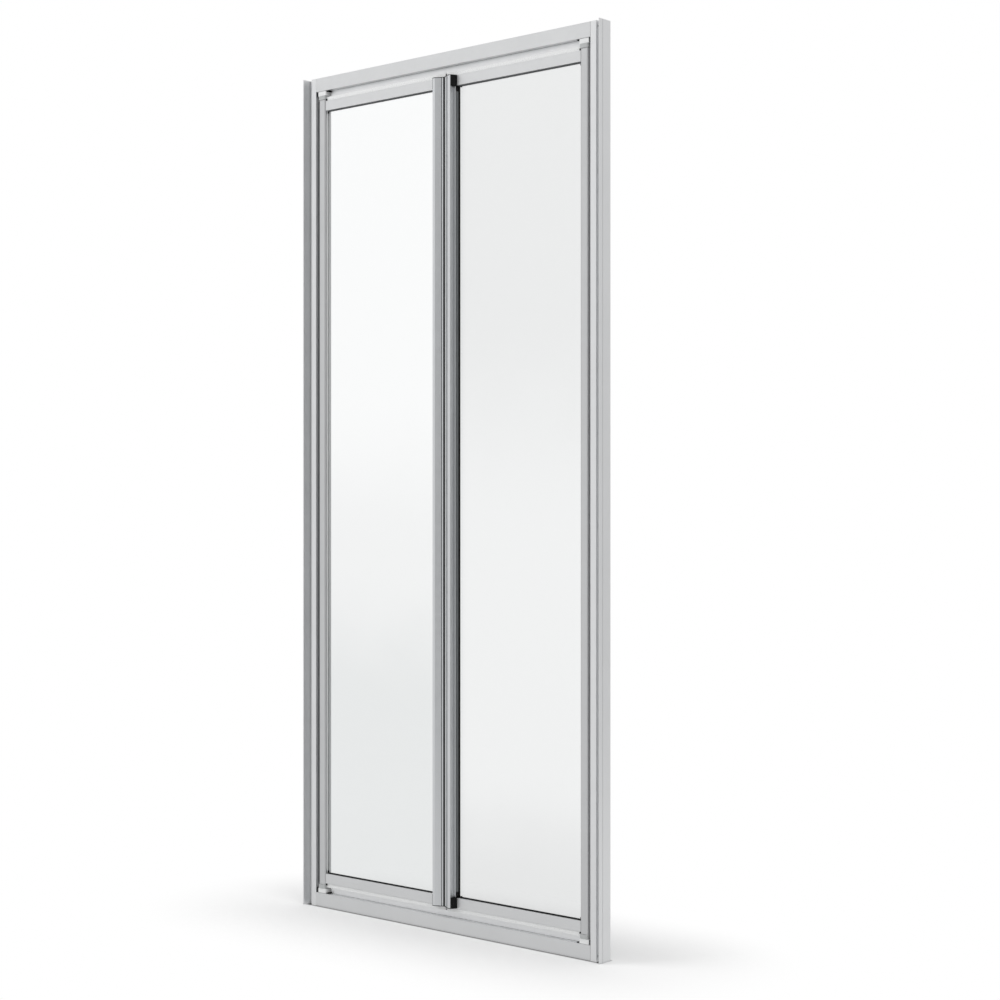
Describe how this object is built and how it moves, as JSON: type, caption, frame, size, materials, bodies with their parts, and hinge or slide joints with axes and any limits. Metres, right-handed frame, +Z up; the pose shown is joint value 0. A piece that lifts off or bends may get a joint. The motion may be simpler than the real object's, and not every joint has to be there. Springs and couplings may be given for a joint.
{
  "type": "saloon shower door",
  "caption": "Framed shower door for an alcove: two glazed leaves meet in the middle and swing both ways on vertical pivots, each with a full-height handle profile.",
  "frame": {"origin": "middle of the sill's underside, on the plane that both leaves hang in", "axes": "+Z up, X across the doorway with +X to the right seen from the room, +Y from the room into the shower"},
  "size_m": [0.869, 0.041, 1.9],
  "materials": {
    "anodised_aluminium": "satin anodised",
    "channel_aluminium": "satin anodised, a little darker",
    "clear_glass": "polished clear safety glass",
    "black_rubber": "matt",
    "dark_grey_rubber": "matt",
    "black_plastic": "fine moulded",
    "grey_plastic": "fine moulded",
    "translucent_pvc": "translucent, smooth",
    "stainless_steel": "plain"
  },
  "bodies": {
    "frame": {"header": "anodised_aluminium", "sill": "anodised_aluminium", "header_infill": "anodised_aluminium", "sill_upstand": "anodised_aluminium", "left_wall_channel": "channel_aluminium", "left_jamb": "anodised_aluminium", "left_jamb_seal": "dark_grey_rubber", "left_channel_screw_1": "stainless_steel", "left_channel_screw_2": "stainless_steel", "left_channel_screw_3": "stainless_steel", "left_top_corner_screw": "stainless_steel", "left_bottom_corner_screw": "stainless_steel", "left_top_pivot_socket": "grey_plastic", "left_bottom_pivot_socket": "grey_plastic", "right_wall_channel": "channel_aluminium", "right_jamb": "anodised_aluminium", "right_jamb_seal": "dark_grey_rubber", "right_channel_screw_1": "stainless_steel", "right_channel_screw_2": "stainless_steel", "right_channel_screw_3": "stainless_steel", "right_top_corner_screw": "stainless_steel", "right_bottom_corner_screw": "stainless_steel", "right_top_pivot_socket": "grey_plastic", "right_bottom_pivot_socket": "grey_plastic"},
    "left_leaf": {"left_pivot_stile": "anodised_aluminium", "left_meeting_stile": "anodised_aluminium", "left_top_rail": "anodised_aluminium", "left_bottom_rail": "anodised_aluminium", "left_glass_pane": "clear_glass", "left_meeting_gasket": "black_rubber", "left_pivot_gasket": "black_rubber", "left_top_gasket": "black_rubber", "left_bottom_gasket": "black_rubber", "left_magnetic_seal": "black_rubber", "left_top_pivot_hub": "grey_plastic", "left_bottom_pivot_hub": "grey_plastic", "left_top_rail_end_cap": "black_plastic", "left_bottom_rail_end_cap": "black_plastic", "left_top_pivot_pin": "stainless_steel", "left_bottom_pivot_pin": "stainless_steel", "left_top_seal": "translucent_pvc", "left_bottom_seal": "translucent_pvc"},
    "right_leaf": {"right_pivot_stile": "anodised_aluminium", "right_meeting_stile": "anodised_aluminium", "right_top_rail": "anodised_aluminium", "right_bottom_rail": "anodised_aluminium", "right_glass_pane": "clear_glass", "right_meeting_gasket": "black_rubber", "right_pivot_gasket": "black_rubber", "right_top_gasket": "black_rubber", "right_bottom_gasket": "black_rubber", "right_magnetic_seal": "black_rubber", "right_top_pivot_hub": "grey_plastic", "right_bottom_pivot_hub": "grey_plastic", "right_top_rail_end_cap": "black_plastic", "right_bottom_rail_end_cap": "black_plastic", "right_top_pivot_pin": "stainless_steel", "right_bottom_pivot_pin": "stainless_steel", "right_top_seal": "translucent_pvc", "right_bottom_seal": "translucent_pvc"}
  },
  "joints": [
    {"name": "left_leaf_swing", "type": "hinge", "parent": "frame", "child": "left_leaf", "pos_m": [-0.385, 0, 0], "axis": [0, 0, 1], "range_deg": [-90, 90]},
    {"name": "right_leaf_swing", "type": "hinge", "parent": "frame", "child": "right_leaf", "pos_m": [0.385, 0, 0], "axis": [0, 0, -1], "range_deg": [-90, 90]}
  ]
}
